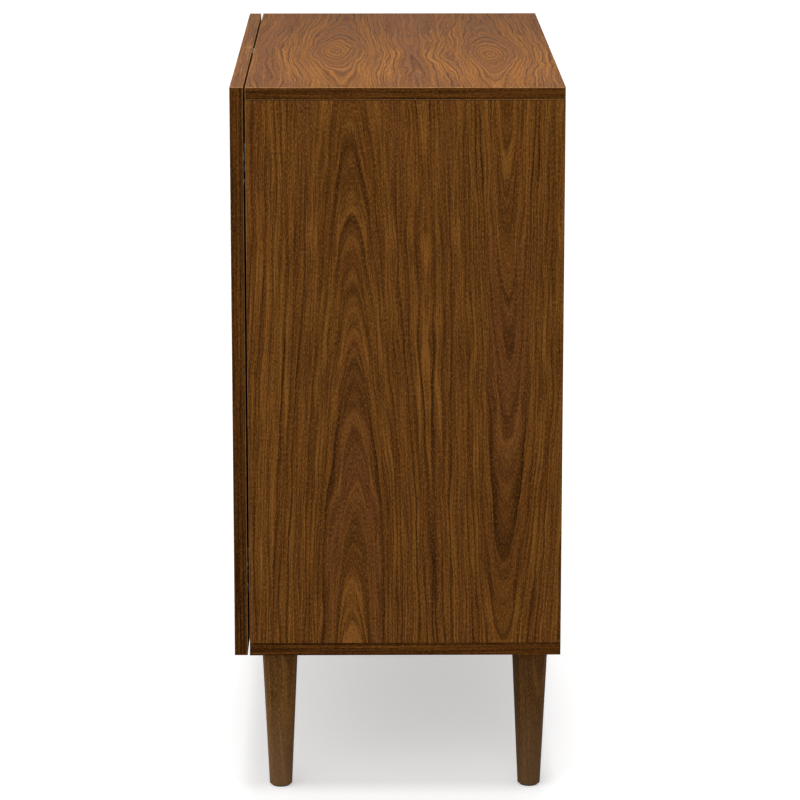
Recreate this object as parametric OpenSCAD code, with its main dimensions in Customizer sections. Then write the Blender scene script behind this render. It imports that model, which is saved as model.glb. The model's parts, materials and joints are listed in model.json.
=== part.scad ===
// Shoe cabinet on four tapered legs, with two doors and three shelves in each compartment.
// X runs across the front, Y from the front to the back, Z up. The origin is on the floor,
// under the middle of the cabinet's bounding box.

/* [Overall] */
// Width over both side panels
cabinet_w = 800; // [600:10:1000]
// Depth of the carcass, from its front edges to its back edges
carcass_d = 380; // [300:5:450]
// Height of the body, from the underside of the bottom panel to the top
body_h = 698; // [560:2:860]
// Height of the body's underside above the floor
leg_h = 178; // [100:1:220]

/* [Panels] */
// Thickness of the top, bottom, side and divider panels
panel_t = 15; // [12.5:0.5:18]
// Thickness of each shelf
shelf_t = 15; // [12.5:0.5:18]
// Thickness of the edge bands
band_t = 1; // [0.6:0.1:2]
// Thickness of the back panel
back_t = 3; // [2.5:0.5:4]
// Distance from the carcass's back edges to the back panel's groove
back_inset = 8; // [6:1:14]
// Depth of the groove that holds the back panel
groove_depth = 6; // [4:0.5:7]
// Clearance of the back panel on each side of its groove
groove_clear = 0.1; // [0.05:0.05:0.3]
// Clearance between the back panel's edges and the bottom of the groove
groove_end_clear = 0.5; // [0.3:0.1:0.9]

/* [Doors] */
// Thickness of each door
door_t = 16; // [15:0.5:19]
// Gap between a closed door and the carcass
door_gap = 2.5; // [2:0.1:3]
// Distance that each door stays back from the outer face of the side panel
door_reveal = 1; // [0.5:0.1:2]
// Gap between the two doors
middle_gap = 3; // [2:0.5:5]
// Radius of the half-round finger cut-out in each door
finger_r = 20; // [16:1:26]
// Height of the finger cut-outs' centre above the door's middle
finger_rise = 80; // [0:5:120]

/* [Shelves] */
// Gap between a shelf and the wall on each side of it
shelf_side_clear = 0.5; // [0.3:0.1:0.9]
// Distance from the carcass's front edges to a shelf
shelf_setback = 20; // [10:1:40]
// Gap between a shelf and the back panel
shelf_back_clear = 0.5; // [0.3:0.1:0.9]
// Diameter of the shelf pins
pin_d = 5; // [4:0.5:6]
// Depth of the shelf pin holes
pin_hole_depth = 6; // [4:0.5:6]
// Length of a shelf pin outside its hole
pin_reach = 8; // [6:1:12]
// Distance from a shelf's front and back edges to its pins
pin_inset = 45; // [30:1:70]
// Spacing of the shelf pin holes above one another
pin_pitch = 32; // [24:1:36]

/* [Legs] */
// Diameter of a leg at the top
leg_top_d = 44; // [36:1:56]
// Diameter of a leg at the bottom
leg_bottom_d = 28; // [22:1:36]
// Radius of the rounded edge at the bottom of a leg
leg_round = 1.5; // [0.5:0.1:3]
// Distance from a leg's centre to the outer face of the side panel
leg_side_inset = 40; // [30:1:60]
// Distance from a leg's centre to the carcass's front or back edge
leg_end_inset = 36; // [28:1:60]
// Diameter of the glide under each leg
glide_d = 22; // [16:1:24]
// Height of the glide's disc
glide_h = 2; // [1.5:0.5:4]
// Diameter of the hanger bolts
bolt_d = 8; // [6:1:10]
// Length of a hanger bolt inside its leg
bolt_in_leg = 40; // [30:1:60]

/* [Joinery] */
// Diameter of the wooden dowels
dowel_d = 8; // [6:1:8]
// Length of a dowel inside the upright panel
dowel_in_upright = 20; // [15:1:25]
// Diameter of the cam locks
cam_d = 15; // [12:1:16]
// Distance from the end of an upright panel to its cam locks' centres
cam_inset = 24; // [20:1:34]
// Distance from the carcass's front and back edges to the outer row of fittings
fitting_inset = 60; // [40:1:90]
// Distance between a cam lock and the dowel beside it
dowel_pitch = 32; // [24:1:40]
// Radial clearance of pins, dowels, bolts and screws in their holes
hole_clear = 0.05; // [0.02:0.01:0.1]

/* [Hinges] */
// Distance from a door's top and bottom ends to the middle of each hinge
hinge_inset = 100; // [90:1:110]
// Diameter of the hinge cup
cup_d = 35; // [35:1:36]
// Distance from the door's edge to the middle of the cup
cup_edge = 21.5; // [21.5:0.1:22.5]
// Depth of the cup below the door's inner face
cup_depth = 11.5; // [11:0.5:12.5]
// Wall of the hinge cup
cup_wall = 1; // [0.8:0.1:1.2]
// Diameter of the four pins of a hinge
hinge_pin_d = 2; // [1.8:0.1:2.2]
// Opening of a door in degrees
open_angle = 95; // [90:1:95]
// Turn of the outer link for each degree of the door
outer_link_turn = -0.25; // [-0.26:0.01:-0.24]
// Turn of the inner link for each degree of the door
inner_link_turn = -0.04; // [-0.05:0.01:-0.03]
// Width of the inner link
inner_link_w = 7.2; // [6.4:0.1:7.2]
// Thickness of the outer link's plates and of the arm's cheeks
hinge_plate_t = 1.2; // [1:0.1:1.3]
// Gap between neighbouring parts on a hinge pin
hinge_side_clear = 0.4; // [0.3:0.05:0.5]

/* [Hidden] */
$fn = 64;

LEFT = -1;
RIGHT = 1;
LOWER = 0;
MIDDLE = 1;
UPPER = 2;
cut = 1; // how far a cutting tool runs past the face it opens
hair = 0.01;

// Heights
leg_bottom_z = glide_h;
body_bottom = leg_h;
body_top = leg_h + body_h;
inner_bottom = body_bottom + panel_t;
inner_top = body_top - panel_t;
inner_h = inner_top - inner_bottom;
shelf_count = 3;
bay_h = (inner_h - shelf_count * shelf_t) / (shelf_count + 1);
function shelf_under(level) = inner_bottom + (level + 1) * bay_h + level * shelf_t;

// Across
side_x = cabinet_w / 2;
inner_x = side_x - panel_t;
divider_x = panel_t / 2;
upright_mid_x = side_x - panel_t / 2;
bay_mid_x = (inner_x + divider_x) / 2;
shelf_w = inner_x - divider_x - 2 * shelf_side_clear;
door_w = side_x - door_reveal - middle_gap / 2;

// Front to back
front_y = -(carcass_d + door_gap + door_t) / 2;
door_back_y = front_y + door_t;
carcass_y = door_back_y + door_gap;
back_y = carcass_y + carcass_d;
groove_w = back_t + 2 * groove_clear;
groove_y = back_y - back_inset - groove_w;
back_reach = groove_depth - groove_end_clear;
shelf_y = carcass_y + shelf_setback;
shelf_d = groove_y - shelf_back_clear - shelf_y;
divider_back_clear = 0.3;
divider_d = groove_y - divider_back_clear - carcass_y;

// Legs
leg_x = side_x - leg_side_inset;
leg_front_y = carcass_y + leg_end_inset;
leg_back_y = back_y - leg_end_inset;
nail_d = 3;
nail_l = 14;
bolt_end_clear = 1;
nut_barrel_d = bolt_d + 2.4;
nut_flange_d = 22;
nut_flange_t = 1.4;
nut_barrel_l = panel_t - 2;
bolt_in_panel = panel_t - nut_flange_t / 2;

// Joinery
cam_head_d = 7;
cam_head_l = 2.4;
cam_floor_t = 1;
cam_h = (panel_t + cam_head_d) / 2 + cam_floor_t;
cam_clear = 0.1;
cam_slot_w = 5.4;
cam_pocket_d = 8.4;
cam_recess_l = 8;
cam_recess_w = 1.4;
cam_recess_depth = 1.4;
screw_end_d = 5;
screw_end_l = panel_t - 5;
collar_d = 7;
collar_l = 1.2;
cam_shank_d = 6;
cam_hole_d = 8;
cam_neck_d = 4;
dowel_in_panel = panel_t - 5;
dowel_end_clear = 0.5;
dowel_chamfer = 0.8;
cam_ys = [carcass_y + fitting_inset, back_y - back_inset - fitting_inset];
dowel_ys = [cam_ys[0] + dowel_pitch, cam_ys[1] - dowel_pitch];

// Shelf pins
pin_r = pin_d / 2;
pin_ys = [shelf_y + pin_inset, shelf_y + shelf_d - pin_inset];
pin_end_chamfer = 0.5;
pin_end_clear = 0.3;
function pin_z(level) = shelf_under(level) - pin_r;

// Bumpers
bumper_d = 9;
bumper_t = door_gap - 0.3;
bumper_x = middle_gap / 2 + 12;

// A hinge is drawn in its own plan: u runs inward from the outer face of the side panel,
// v forward from the carcass's front edge, and w up from the hinge's middle.
hinge_zs = [body_bottom + hinge_inset, body_top - hinge_inset];
door_v = door_gap;
cup_u = door_reveal + cup_edge;
cup_inner_d = cup_d - 2 * cup_wall;
cup_clear = 0.1;
// The four pins, from the door's edge and its inner face
cup_pin_outer = [door_reveal + 9.5, door_v + 1.6];
cup_pin_inner = [door_reveal + 8.7, door_v + 7.5];
arm_pin_outer = [door_reveal + 33, door_v - 6.3];
arm_pin_inner = [door_reveal + 29, door_v + 7];
pin_hole_r = hinge_pin_d / 2 + hole_clear;
eye_wall = 1.2;
eye_r = hinge_pin_d / 2 + eye_wall;
// Half the height of each link, and the point where it bends round the cup's rim
inner_link_half = 1.6;
inner_link_bow = cup_pin_inner + [8.3, 0.3];
outer_link_half = 1.5;
outer_link_bow = cup_pin_outer + [5.5, 0.1];
outer_w0 = inner_link_w / 2 + hinge_side_clear;
outer_w1 = outer_w0 + hinge_plate_t;
cheek_w0 = outer_w1 + hinge_side_clear;
cheek_w1 = cheek_w0 + hinge_plate_t;
slot_clear = 0.1;
slot_wall = 0.9;

// Mounting plate and arm
plate_t = 2;
plate_v = -37;
plate_half_v = 10;
plate_half_w = 24;
plate_screw_w = 16;
rail_v0 = -60;
rail_v1 = -20;
rail_half_w = 5.2;
rail_h = 7;
arm_web_t = 1.4;
arm_v0 = -62;
arm_v1 = -16;
arm_rail_clear = 0.2;
arm_foot_clear = 0.6;
arm_u0 = panel_t + plate_t + arm_foot_clear;
arm_u1 = panel_t + rail_h + arm_rail_clear + arm_web_t;
neck_r = 3;
neck_start = [arm_u1 - neck_r, arm_v1 - 1];
arm_screw_vs = [-53, -31];
arm_screw_d = 4;
arm_screw_head_d = 7;
arm_screw_head_t = 1.6;
wood_screw_d = 3.6;
screw_hole_d = wood_screw_d + 2 * hole_clear;
wood_screw_head_d = 7;
wood_screw_head_t = 2;
wood_screw_top_d = 5.4;
wood_screw_tip_d = 0.6;
wood_screw_tip_l = 2.4;
wood_screw_seat = 0.5; // how far a screw's tip stays short of its hole's end
plate_screw_l = panel_t - 2.5;
cup_screw_l = 11;
cup_screw_w = 22.5;
cup_screw_u = cup_u + 9.5;
flange_t = 1;
flange_r = 19.5;
flange_lobe_r = 6;
flange_from_u = door_reveal + 9;
lug_half_u = 4;
lug_u = (cup_pin_inner[0] + cup_pin_outer[0]) / 2;
lug_pin_l = 3.4;
cup_pin_reach = cheek_w0 + lug_pin_l; // from the hinge's middle into the cup's lugs
stub_gap = 0.2;
stub_start = inner_link_w / 2 + stub_gap;

// Rotation of the plan vector p by a degrees
function turned(p, a) = [cos(a) * p[0] - sin(a) * p[1], sin(a) * p[0] + cos(a) * p[1]];

// Where the arm's inner pin lies in the inner link's own plan when the door is open by a degrees
function pin_in_inner_link(a) =
    let (
        outer_end = arm_pin_outer + turned(cup_pin_outer - arm_pin_outer, outer_link_turn * a),
        inner_end = outer_end + turned(cup_pin_inner - cup_pin_outer, a)
    )
    cup_pin_inner + turned(arm_pin_inner - inner_end, -inner_link_turn * a);

// The inner link's slot is straight and wide enough for the pin's slightly curved path
slot_turning_share = 0.55;
slot_start = pin_in_inner_link(0);
slot_end = pin_in_inner_link(slot_turning_share * open_angle);
slot_dir = (slot_end - slot_start) / norm(slot_end - slot_start);
slot_normal = [-slot_dir[1], slot_dir[0]];
slot_samples = 20;
slot_offsets = [
    for (i = [0:slot_samples])
        (pin_in_inner_link(open_angle * i / slot_samples) - slot_start) * slot_normal
];
slot_shift = slot_normal * (max(slot_offsets) + min(slot_offsets)) / 2;
slot_spread = (max(slot_offsets) - min(slot_offsets)) / 2;
slot_p = slot_start + slot_shift;
slot_q = slot_end + slot_shift;
slot_r = hinge_pin_d / 2 + slot_spread + slot_clear;
slot_eye_r = slot_r + slot_wall;

walnut = [0.43, 0.27, 0.15];
walnut_edge = [0.34, 0.2, 0.09];
walnut_top = [0.56, 0.39, 0.25];
leg_brown = [0.34, 0.24, 0.13];
hardboard = [0.42, 0.3, 0.2];
nickel = [0.74, 0.74, 0.72];
zinc = [0.62, 0.64, 0.66];
beech = [0.8, 0.66, 0.46];
clear_rubber = [0.82, 0.82, 0.78];
dark_plastic = [0.12, 0.11, 0.1];

// A box from one corner to the opposite one
module span(low, high) {
    translate(low) cube(high - low);
}

// A bar with round ends, between two points of a plan. Its straight sides lie a hair inside
// its round ends, so that the faces cross and never only touch.
module bar(p, q, r) {
    length = norm(q - p);
    half = r - hair;
    translate(p) circle(r);
    translate(q) circle(r);
    translate(p) rotate(atan2(q[1] - p[1], q[0] - p[0])) translate([0, -half]) square([length, 2 * half]);
}

// Puts a piece drawn for the right half on the given side
module on_side(side) {
    if (side == LEFT) mirror([1, 0, 0]) children();
    else children();
}

// ---- Carcass panels ----

// Places a child at each cam position of one upright's end, pointing into the horizontal panel
module at_upright_ends(x, ys) {
    for (y = ys) {
        translate([x, y, inner_top]) children();
        translate([x, y, inner_bottom]) mirror([0, 0, 1]) children();
    }
}

module at_all_upright_ends(ys) {
    for (x = [-upright_mid_x, 0, upright_mid_x]) at_upright_ends(x, ys) children();
}

module panel_joint_holes() {
    at_all_upright_ends(cam_ys)
        translate([0, 0, -cut])
            cylinder(h = screw_end_l + hole_clear + cut, r = screw_end_d / 2 + hole_clear);
    at_all_upright_ends(dowel_ys)
        translate([0, 0, -cut])
            cylinder(h = dowel_in_panel + dowel_end_clear + cut, r = dowel_d / 2 + hole_clear);
}

module horizontal_core(z) {
    span([-side_x + band_t, carcass_y + band_t, z], [side_x - band_t, back_y, z + panel_t]);
}

module horizontal_bands(z) {
    span([-side_x, carcass_y, z], [side_x, carcass_y + band_t, z + panel_t]);
    for (side = [LEFT, RIGHT])
        on_side(side)
            span([side_x - band_t, carcass_y + band_t, z], [side_x, back_y, z + panel_t]);
}

module back_groove() {
    span(
        [-inner_x - groove_depth, groove_y, inner_bottom - groove_depth],
        [inner_x + groove_depth, groove_y + groove_w, inner_top + groove_depth]
    );
}

module top_panel() {
    color(walnut_top) difference() {
        horizontal_core(inner_top);
        panel_joint_holes();
        back_groove();
    }
}

module top_panel_bands() {
    color(walnut_edge) horizontal_bands(inner_top);
}

module at_legs() {
    for (x = [-leg_x, leg_x], y = [leg_front_y, leg_back_y]) translate([x, y, 0]) children();
}

module bottom_panel() {
    color(walnut) difference() {
        horizontal_core(body_bottom);
        panel_joint_holes();
        back_groove();
        at_legs() translate([0, 0, body_bottom - cut])
            cylinder(h = panel_t + 2 * cut, r = nut_barrel_d / 2 + hole_clear);
        at_legs() translate([0, 0, inner_bottom - nut_flange_t])
            cylinder(h = nut_flange_t + cut, r = nut_flange_d / 2 + hole_clear);
    }
}

module bottom_panel_bands() {
    color(walnut_edge) horizontal_bands(body_bottom);
}

// Holes in the ends of an upright panel, for the cam bolts and dowels
module upright_end_holes(x) {
    at_upright_ends(x, cam_ys)
        translate([0, 0, -cam_inset]) cylinder(h = cam_inset + cut, d = cam_hole_d);
    at_upright_ends(x, dowel_ys)
        translate([0, 0, -dowel_in_upright - dowel_end_clear])
            cylinder(h = dowel_in_upright + dowel_end_clear + cut, r = dowel_d / 2 + hole_clear);
}

// Cam lock housings, opened from the face at face_x and running in the direction dir
module cam_housings(face_x, dir) {
    for (y = cam_ys, z = [inner_bottom + cam_inset, inner_top - cam_inset])
        translate([face_x - dir * cut, y, z]) rotate([0, 90 * dir, 0])
            cylinder(h = cam_h + cut + cam_clear, r = cam_d / 2);
}

// Rows of shelf pin holes, opened from the face at face_x and running in the direction dir
module shelf_pin_holes(face_x, dir) {
    for (y = pin_ys, level = [LOWER:UPPER], step = [-1:1])
        translate([face_x - dir * cut, y, pin_z(level) + step * pin_pitch]) rotate([0, 90 * dir, 0])
            cylinder(h = pin_hole_depth + pin_end_clear + cut, r = pin_r + hole_clear);
}

module side_panel(side) {
    color(walnut) on_side(side) difference() {
        span([inner_x, carcass_y + band_t, inner_bottom], [side_x, back_y, inner_top]);
        back_groove();
        upright_end_holes(upright_mid_x);
        cam_housings(inner_x, 1);
        shelf_pin_holes(inner_x, 1);
        at_hinges() plate_screw_holes();
    }
}

module divider() {
    color(walnut) difference() {
        span(
            [-divider_x, carcass_y + band_t, inner_bottom],
            [divider_x, carcass_y + divider_d, inner_top]
        );
        upright_end_holes(0);
        cam_housings(-divider_x, 1);
        shelf_pin_holes(-divider_x, 1);
        shelf_pin_holes(divider_x, -1);
    }
}

module upright_bands() {
    color(walnut_edge) {
        for (side = [LEFT, RIGHT])
            on_side(side)
                span([inner_x, carcass_y, inner_bottom], [side_x, carcass_y + band_t, inner_top]);
        span([-divider_x, carcass_y, inner_bottom], [divider_x, carcass_y + band_t, inner_top]);
    }
}

module back_panel() {
    color(hardboard)
        span(
            [-inner_x - back_reach, groove_y + groove_clear, inner_bottom - back_reach],
            [inner_x + back_reach, groove_y + groove_clear + back_t, inner_top + back_reach]
        );
}

// ---- Shelves ----

module shelf(side, level) {
    color(walnut) on_side(side)
        translate([bay_mid_x - shelf_w / 2, shelf_y + band_t, shelf_under(level)])
            cube([shelf_w, shelf_d - band_t, shelf_t]);
}

module shelf_bands() {
    color(walnut_edge)
        for (side = [LEFT, RIGHT], level = [LOWER:UPPER])
            on_side(side)
                translate([bay_mid_x - shelf_w / 2, shelf_y, shelf_under(level)])
                    cube([shelf_w, band_t, shelf_t]);
}

// One shelf pin along +X, with x = 0 at the wall's face
module shelf_pin() {
    rotate([0, 90, 0]) {
        translate([0, 0, -pin_hole_depth])
            cylinder(h = pin_hole_depth + pin_reach - pin_end_chamfer, r = pin_r);
        translate([0, 0, pin_reach - pin_end_chamfer])
            cylinder(h = pin_end_chamfer, r1 = pin_r, r2 = pin_r - pin_end_chamfer);
    }
}

module shelf_pins() {
    color(nickel)
        for (side = [LEFT, RIGHT], level = [LOWER:UPPER], y = pin_ys)
            on_side(side) {
                translate([divider_x, y, pin_z(level)]) shelf_pin();
                translate([inner_x, y, pin_z(level)]) mirror([1, 0, 0]) shelf_pin();
            }
}

// ---- Carcass fittings ----

// A cam lock in its housing, with x = 0 at its open face and x growing into the panel
module cam_lock(to_end) {
    difference() {
        rotate([0, 90, 0]) cylinder(h = cam_h, r = cam_d / 2 - cam_clear);
        translate([panel_t / 2 - cam_pocket_d / 2, 0, 0])
            rotate([0, 90, 0]) cylinder(h = cam_h, d = cam_pocket_d);
        translate([panel_t / 2 - cam_slot_w / 2, -cam_slot_w / 2, 0])
            scale([1, 1, to_end]) cube([cam_h, cam_slot_w, cam_d]);
        for (a = [0, 90])
            rotate([a, 0, 0]) translate([-cut, -cam_recess_l / 2, -cam_recess_w / 2])
                cube([cut + cam_recess_depth, cam_recess_l, cam_recess_w]);
    }
}

module cam_locks() {
    color(zinc)
        for (y = cam_ys, end = [-1, 1]) {
            z = end < 0 ? inner_bottom + cam_inset : inner_top - cam_inset;
            for (side = [LEFT, RIGHT]) on_side(side) translate([inner_x, y, z]) cam_lock(end);
            translate([-divider_x, y, z]) cam_lock(end);
        }
}

// A cam bolt, with z = 0 at the joint face and its screw end above
module cam_bolt() {
    cylinder(h = screw_end_l, d = screw_end_d);
    translate([0, 0, -collar_l]) cylinder(h = collar_l, d = collar_d);
    translate([0, 0, -cam_inset + cam_d / 2])
        cylinder(h = cam_inset - cam_d / 2 - collar_l, d = cam_shank_d);
    translate([0, 0, -cam_inset]) cylinder(h = cam_d / 2, d = cam_neck_d);
    translate([0, 0, -cam_inset - cam_head_l / 2]) cylinder(h = cam_head_l, d = cam_head_d);
}

module cam_bolts() {
    color(zinc) at_all_upright_ends(cam_ys) cam_bolt();
}

module dowel() {
    r = dowel_d / 2;
    straight = dowel_in_panel + dowel_in_upright - 2 * dowel_chamfer;
    translate([0, 0, -dowel_in_upright]) {
        cylinder(h = dowel_chamfer, r1 = r - dowel_chamfer, r2 = r);
        translate([0, 0, dowel_chamfer]) cylinder(h = straight, r = r);
        translate([0, 0, dowel_chamfer + straight])
            cylinder(h = dowel_chamfer, r1 = r, r2 = r - dowel_chamfer);
    }
}

module dowels() {
    color(beech) at_all_upright_ends(dowel_ys) dowel();
}

// ---- Legs ----

module leg(x, y) {
    r0 = leg_bottom_d / 2;
    r1 = leg_top_d / 2;
    arc_steps = 4;
    color(leg_brown) translate([x, y, 0]) difference() {
        rotate_extrude($fn = 96) polygon(concat(
            [[0, leg_bottom_z]],
            [for (i = [0:arc_steps]) let (a = 90 * i / arc_steps)
                [r0 - leg_round + leg_round * sin(a), leg_bottom_z + leg_round - leg_round * cos(a)]],
            [[r1, body_bottom], [0, body_bottom]]
        ));
        translate([0, 0, body_bottom - bolt_in_leg - bolt_end_clear])
            cylinder(h = bolt_in_leg + bolt_end_clear + cut, r = bolt_d / 2 + hole_clear);
        translate([0, 0, leg_bottom_z - cut])
            cylinder(h = nail_l + bolt_end_clear + cut, r = nail_d / 2 + hole_clear);
    }
}

module glide(x, y) {
    color(dark_plastic) translate([x, y, 0]) {
        cylinder(h = glide_h, d = glide_d);
        translate([0, 0, glide_h]) cylinder(h = nail_l, d = nail_d);
    }
}

module hanger_bolts() {
    color(zinc) at_legs() translate([0, 0, body_bottom - bolt_in_leg])
        cylinder(h = bolt_in_leg + bolt_in_panel, d = bolt_d);
}

module tee_nuts() {
    color(zinc) at_legs() difference() {
        union() {
            translate([0, 0, inner_bottom - nut_flange_t]) cylinder(h = nut_flange_t, d = nut_flange_d);
            translate([0, 0, inner_bottom - nut_flange_t - nut_barrel_l + nut_flange_t])
                cylinder(h = nut_barrel_l, d = nut_barrel_d);
        }
        translate([0, 0, body_bottom - cut])
            cylinder(h = panel_t + 2 * cut, r = bolt_d / 2 + hole_clear);
    }
}

// ---- Doors ----

finger_z = (body_bottom + body_top) / 2 + finger_rise;

module finger_cut() {
    translate([0, front_y - cut, finger_z]) rotate([-90, 0, 0])
        cylinder(h = door_t + 2 * cut, r = finger_r);
}

module door(side) {
    x0 = middle_gap / 2;
    x1 = x0 + door_w;
    color(walnut) on_side(side) difference() {
        span([x0 + band_t, front_y, body_bottom + band_t], [x1 - band_t, door_back_y, body_top - band_t]);
        finger_cut();
        at_hinges() cup_holes();
    }
}

module door_bands(side) {
    x0 = middle_gap / 2;
    x1 = x0 + door_w;
    color(walnut_edge) on_side(side) {
        for (z = [body_bottom, body_top - band_t])
            span([x0, front_y, z], [x1, door_back_y, z + band_t]);
        span([x1 - band_t, front_y, body_bottom + band_t], [x1, door_back_y, body_top - band_t]);
        difference() {
            span([x0, front_y, body_bottom + band_t], [x0 + band_t, door_back_y, body_top - band_t]);
            finger_cut();
        }
    }
}

module door_bumpers(side) {
    color(clear_rubber) on_side(side)
        for (z = [body_bottom + panel_t / 2, body_top - panel_t / 2])
            translate([bumper_x, door_back_y, z]) rotate([-90, 0, 0]) cylinder(h = bumper_t, d = bumper_d);
}

// ---- Hinges ----

// Puts a child drawn in the plan (u, v) and the height w at one hinge of the right door
module at_hinge(z) {
    translate([side_x, carcass_y, z]) rotate(180) children();
}

module at_hinges() {
    for (z = hinge_zs) at_hinge(z) children();
}

// A cylinder that runs forward along v from the point (u, v, w)
module v_cylinder(u, v, w, h, d) {
    translate([u, v, w]) rotate([-90, 0, 0]) cylinder(h = h, d = d);
}

module plate_screw_holes() {
    for (w = [-plate_screw_w, plate_screw_w])
        translate([panel_t + cut, plate_v, w]) rotate([0, -90, 0])
            cylinder(h = plate_screw_l + cut, d = screw_hole_d);
}

module cup_holes() {
    v_cylinder(cup_u, door_v - cut, 0, cup_depth + cup_clear + cut, cup_d + 2 * cup_clear);
    for (w = [-cup_screw_w, cup_screw_w])
        v_cylinder(cup_screw_u, door_v - cut, w, cup_screw_l + cut, screw_hole_d);
}

module hinge_plate() {
    difference() {
        union() {
            span(
                [panel_t, plate_v - plate_half_v, -plate_half_w],
                [panel_t + plate_t, plate_v + plate_half_v, plate_half_w]
            );
            span([panel_t, rail_v0, -rail_half_w], [panel_t + rail_h, rail_v1, rail_half_w]);
        }
        for (w = [-plate_screw_w, plate_screw_w])
            translate([panel_t - cut, plate_v, w]) rotate([0, 90, 0])
                cylinder(h = plate_t + 2 * cut, d = screw_hole_d);
        for (v = arm_screw_vs)
            translate([panel_t - cut, v, 0]) rotate([0, 90, 0])
                cylinder(h = rail_h + 2 * cut, r = arm_screw_d / 2 + hole_clear);
    }
}

module hinge_plate_at(side, z) {
    color(zinc) on_side(side) at_hinge(z) hinge_plate();
}

module cheek_plan() {
    translate([arm_u0, arm_v0]) square([arm_u1 - arm_u0, arm_v1 - arm_v0]);
    bar(neck_start, arm_pin_outer, neck_r);
    bar(arm_pin_outer, arm_pin_inner, eye_r);
}

module hinge_arm() {
    difference() {
        union() {
            for (w = [-cheek_w1, cheek_w0])
                translate([0, 0, w]) linear_extrude(hinge_plate_t) cheek_plan();
            span([arm_u1 - arm_web_t, arm_v0, -cheek_w1], [arm_u1, arm_v1, cheek_w1]);
        }
        for (p = [arm_pin_inner, arm_pin_outer])
            translate([p[0], p[1], -cheek_w1 - cut]) cylinder(h = 2 * (cheek_w1 + cut), r = pin_hole_r);
        for (v = arm_screw_vs)
            translate([arm_u0, v, 0]) rotate([0, 90, 0])
                cylinder(h = arm_u1 - arm_u0 + cut, r = arm_screw_d / 2 + hole_clear);
    }
}

module hinge_arm_at(side, z) {
    color(nickel) on_side(side) at_hinge(z) hinge_arm();
}

module hinge_arm_pins() {
    color(zinc)
        for (side = [LEFT, RIGHT])
            on_side(side) at_hinges()
                for (p = [arm_pin_inner, arm_pin_outer])
                    translate([p[0], p[1], -cheek_w1]) cylinder(h = 2 * cheek_w1, d = hinge_pin_d);
}

module inner_link() {
    difference() {
        translate([0, 0, -inner_link_w / 2]) linear_extrude(inner_link_w) difference() {
            union() {
                translate(cup_pin_inner) circle(eye_r);
                bar(cup_pin_inner, inner_link_bow, inner_link_half);
                bar(inner_link_bow, slot_p, inner_link_half);
                bar(slot_p, slot_q, slot_eye_r);
            }
            bar(slot_p, slot_q, slot_r);
        }
        translate([cup_pin_inner[0], cup_pin_inner[1], -inner_link_w / 2 - cut])
            cylinder(h = inner_link_w + 2 * cut, r = pin_hole_r);
    }
}

module outer_link_plate() {
    difference() {
        linear_extrude(hinge_plate_t) {
            for (p = [cup_pin_outer, arm_pin_outer]) translate(p) circle(eye_r);
            bar(cup_pin_outer, outer_link_bow, outer_link_half);
            bar(outer_link_bow, arm_pin_outer, outer_link_half);
        }
        for (p = [cup_pin_outer, arm_pin_outer])
            translate([p[0], p[1], -cut]) cylinder(h = hinge_plate_t + 2 * cut, r = pin_hole_r);
    }
}

module inner_links(side) {
    color(nickel) on_side(side) at_hinges() inner_link();
}

module outer_links(side) {
    color(nickel) on_side(side) at_hinges()
        for (w = [-outer_w1, outer_w0]) translate([0, 0, w]) outer_link_plate();
}

module flange_plan() {
    circle(flange_r);
    for (w = [-cup_screw_w, cup_screw_w]) {
        bar([0, w / 2], [cup_screw_u - cup_u, w], flange_lobe_r);
    }
}

module hinge_cup() {
    difference() {
        union() {
            v_cylinder(cup_u, door_v, 0, cup_depth, cup_d);
            intersection() {
                translate([cup_u, door_v, 0]) rotate([90, 0, 0]) linear_extrude(flange_t) flange_plan();
                span([flange_from_u, door_v - flange_t, -2 * cup_d], [cup_u + 2 * cup_d, door_v, 2 * cup_d]);
            }
        }
        difference() {
            v_cylinder(cup_u, door_v - flange_t - cut, 0, cut + flange_t + cup_depth - cup_wall, cup_inner_d);
            for (w = [-cup_d, cheek_w0])
                span(
                    [lug_u - lug_half_u, door_v, w],
                    [lug_u + lug_half_u, door_v + cup_depth, w + cup_d - cheek_w0]
                );
        }
        for (p = [cup_pin_inner, cup_pin_outer])
            translate([p[0], p[1], -cup_pin_reach]) cylinder(h = 2 * cup_pin_reach, r = pin_hole_r);
        for (w = [-cup_screw_w, cup_screw_w])
            v_cylinder(cup_screw_u, door_v - flange_t - cut, w, flange_t + 2 * cut, screw_hole_d);
    }
}

module hinge_cup_at(side, z) {
    color(nickel) on_side(side) at_hinge(z) hinge_cup();
}

// The inner pin runs right across the cup; the outer one is a short stub in each lug
module hinge_cup_pins(side) {
    color(zinc) on_side(side) at_hinges() {
        translate([cup_pin_inner[0], cup_pin_inner[1], -cup_pin_reach])
            cylinder(h = 2 * cup_pin_reach, d = hinge_pin_d);
        for (w = [-cup_pin_reach, stub_start])
            translate([cup_pin_outer[0], cup_pin_outer[1], w])
                cylinder(h = cup_pin_reach - stub_start, d = hinge_pin_d);
    }
}

// A wood screw along -Z, with z = 0 under its head
module wood_screw(length) {
    shank_l = length - wood_screw_tip_l;
    cylinder(h = wood_screw_head_t, d1 = wood_screw_head_d, d2 = wood_screw_top_d);
    translate([0, 0, -shank_l]) cylinder(h = shank_l, d = wood_screw_d);
    translate([0, 0, -length]) cylinder(h = wood_screw_tip_l, d1 = wood_screw_tip_d, d2 = wood_screw_d);
}

module hinge_plate_screws() {
    color(zinc)
        for (side = [LEFT, RIGHT])
            on_side(side) at_hinges()
                for (w = [-plate_screw_w, plate_screw_w])
                    translate([panel_t + plate_t, plate_v, w]) rotate([0, 90, 0])
                        wood_screw(plate_screw_l + plate_t - wood_screw_seat);
}

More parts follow.
